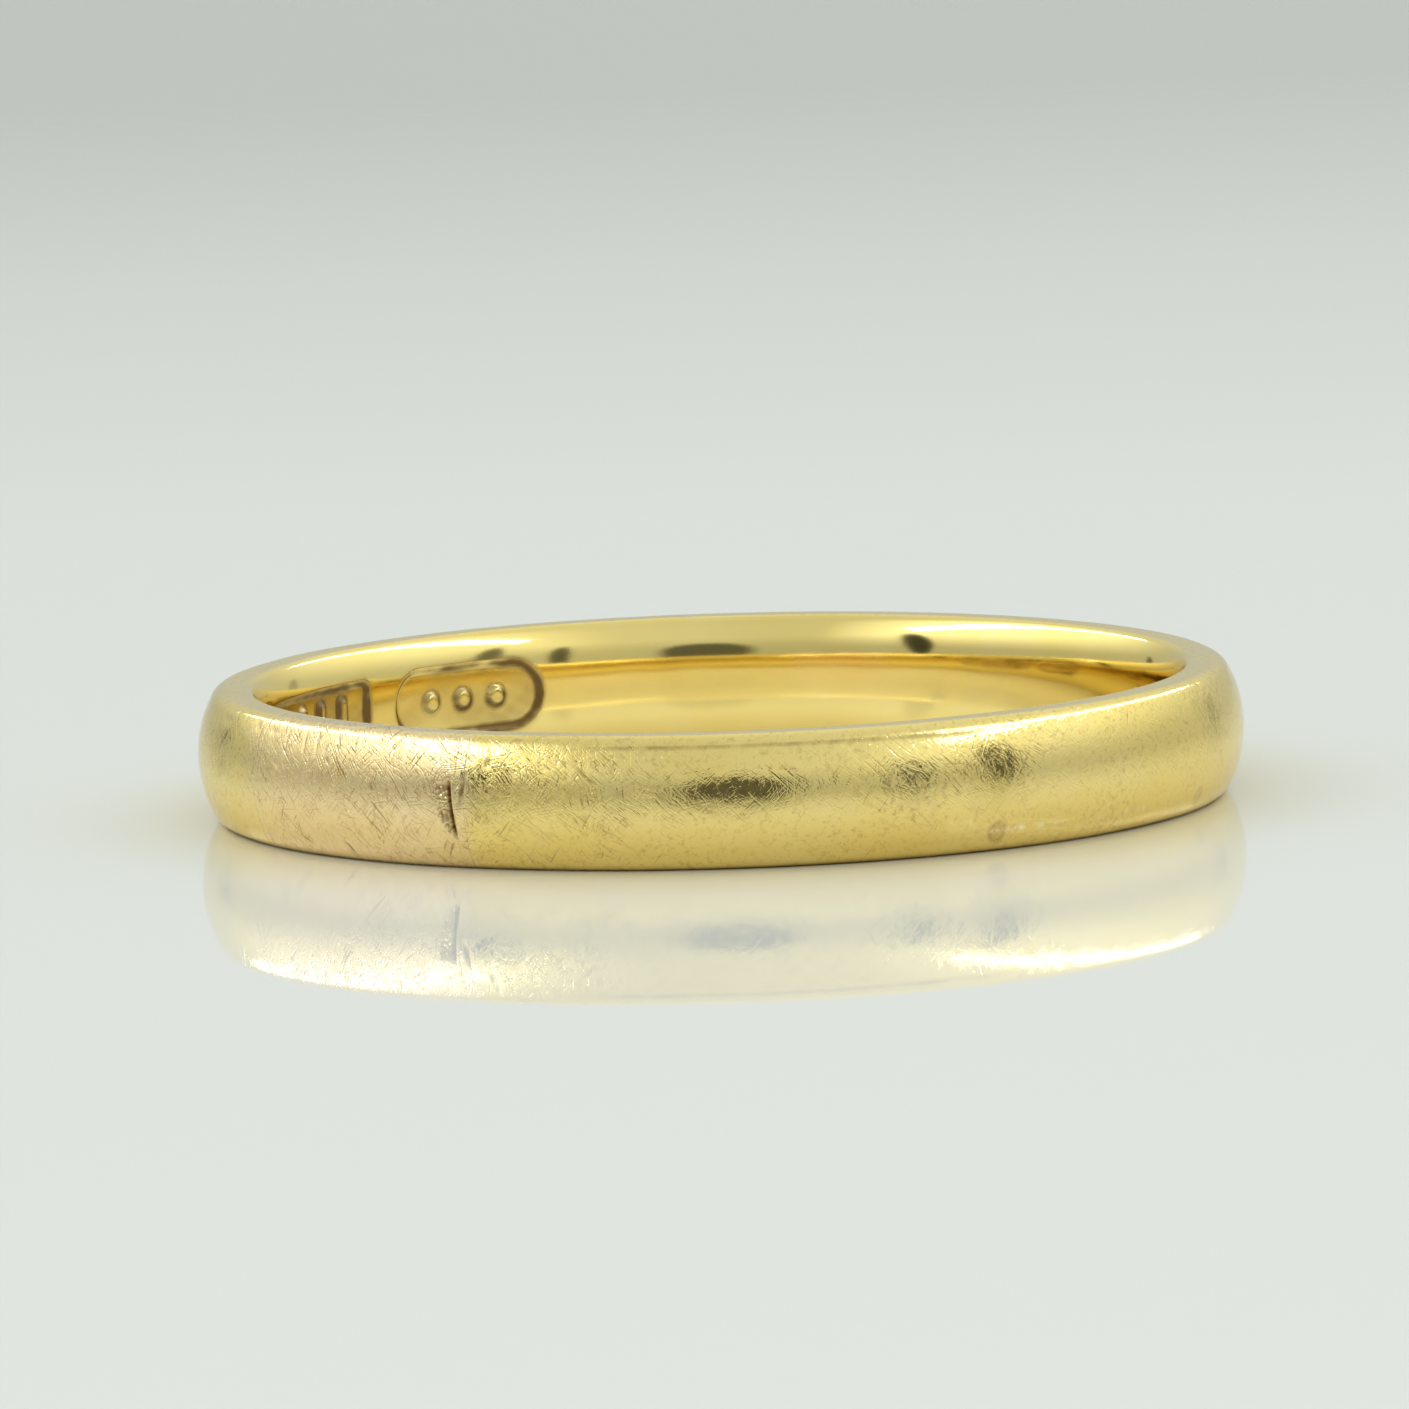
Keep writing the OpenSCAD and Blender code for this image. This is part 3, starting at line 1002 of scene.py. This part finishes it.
def make_top_lamp():
    """A soft lamp over the table, hidden from the camera and from reflections."""
    material = bpy.data.materials.new("top_lamp")
    material.use_nodes = True
    tree = material.node_tree
    colour = (*LIGHT_TINT, 1)
    lamp = add_node(tree, "ShaderNodeEmission", {"Color": colour, "Strength": TOP_LAMP_STRENGTH})
    tree.links.new(lamp.outputs[0], tree.nodes["Material Output"].inputs["Surface"])
    signs = ((-1, -1), (-1, 1), (1, 1), (1, -1))
    corners = [(a * TOP_LAMP_HALF, b * TOP_LAMP_HALF, TOP_LAMP_Z) for a, b in signs]
    panel = stage_mesh("top_lamp", corners, [[0, 1, 2, 3]], material)
    panel.visible_camera = False
    panel.visible_glossy = False


DARK_COLOUR = (0.04, 0.042, 0.038, 1)
DARK_SOFTNESS = (0.02, 0.30)
DARK_RIM_POINTS = 40

# Dark things round the table that show in the gold: azimuth, elevation, distance, half
# width, half height, and how dark they are.
DARK_THINGS = {
    "camera_body": (3, 7, 330, 84, 76, 0.85),
    "stand_right": (42, 10, 300, 18, 78, 0.9),
    "stand_far_right": (63, 12, 300, 26, 100, 0.85),
    "stand_left": (-54, 15, 300, 26, 84, 1.0),
    "stand_behind": (-142, 4, 300, 12, 24, 0.8),
    "stand_far_behind": (139, 5, 300, 16, 36, 0.4),
}


def make_dark_things():
    """Soft-edged ovals for what the gold reflects. The camera itself doesn't see them."""
    for name, (azimuth, elevation, distance, half_w, half_h, darkness) in DARK_THINGS.items():
        material = bpy.data.materials.new(name)
        material.use_nodes = True
        tree = material.node_tree
        solid = remap(tree, attribute(tree, "middle"), *DARK_SOFTNESS, 0.0, darkness)
        clear = add_node(tree, "ShaderNodeBsdfTransparent")
        dark = add_node(tree, "ShaderNodeEmission", {"Color": DARK_COLOUR})
        both = add_node(tree, "ShaderNodeMixShader", {0: solid, 1: clear.outputs[0], 2: dark.outputs[0]})
        tree.links.new(both.outputs[0], tree.nodes["Material Output"].inputs["Surface"])

        centre = around(azimuth, elevation, distance)
        corners = [Vector(c) for c in quad_facing(centre, half_w, half_h, (0, 0, 0))]
        side, up = (corners[1] - corners[0]) / 2, (corners[3] - corners[0]) / 2
        rim = [tuple(centre + side * a + up * b) for a, b in disc(1.0, DARK_RIM_POINTS)]
        faces = [[0, 1 + i, 1 + (i + 1) % len(rim)] for i in range(len(rim))]
        card = stage_mesh(name, [tuple(centre), *rim], faces, material)
        middle = card.data.attributes.new("middle", "FLOAT", "POINT")
        middle.data.foreach_set("value", [1.0] + [0.0] * len(rim))
        card.visible_camera = False
        card.visible_shadow = False
        card.visible_diffuse = False


# ---------------------------------------------------------------- the model

# Colours of the metals, of what lies on them, of the painted shade in the punch marks, and of the
# painted highlight.
YELLOW = (0.885, 0.688, 0.236, 1)
YELLOW_PALE = (0.905, 0.725, 0.295, 1)
PINK = (0.89, 0.675, 0.340, 1)
PINK_PALE = (0.91, 0.720, 0.410, 1)
SOLDER = (0.89, 0.700, 0.345, 1)
SOLDER_PALE = (0.91, 0.745, 0.440, 1)
EDGE_TINT = (0.98, 0.95, 0.84, 1)
STAIN = (0.36, 0.22, 0.07, 1)
SPOT_BROWN = (0.46, 0.31, 0.15, 1)
# The next colour is for dirt and for the painted shade in the punch marks.
DIRT_AND_SHADE_BROWN = (0.135, 0.066, 0.014, 1)
# The colour of the painted highlight along the low crease.
PAINTED_HIGHLIGHT_COLOUR = (1.0, 0.95, 0.70, 1)

# The last three values are the roughness, the gain of the scratches and that of their stain.
yellow_gold = worn_gold("yellow_gold", YELLOW, YELLOW_PALE, 0.050, 2.0, 0.58)
pink_gold = worn_gold("pink_gold", PINK, PINK_PALE, 0.062, 2.2, 0.70)
solder = worn_gold("gold_solder", SOLDER, SOLDER_PALE, 0.070, 2.0, 0.60)

# Rows are closer together on the sizing piece and its seams, where the wear is deepest.
half_seam = SEAM_SPAN / 2
open_row = section(crown_step=0.075, edge_step=0.040, bore_step=0.048)
fine_row = section(crown_step=0.022, edge_step=0.022, bore_step=0.060)
add_piece("shank_worn", FRONT_SEAM + half_seam, SIDE_SEAM + 360 - half_seam, open_row,
          yellow_gold, "shank")
add_piece("sizing_piece_worn", SIDE_SEAM + half_seam, FRONT_SEAM - half_seam, fine_row,
          pink_gold, "sizing_piece")
add_piece("side_solder_seam_worn", SIDE_SEAM - half_seam, SIDE_SEAM + half_seam, fine_row,
          solder, "side_solder_seam")
add_piece("front_solder_seam_worn", FRONT_SEAM - half_seam, FRONT_SEAM + half_seam, fine_row,
          solder, "front_solder_seam")

make_camera()
make_world()
make_floor()
make_led_strips()
make_top_lamp()
make_dark_things()
bpy.context.scene.view_settings.view_transform = "Standard"
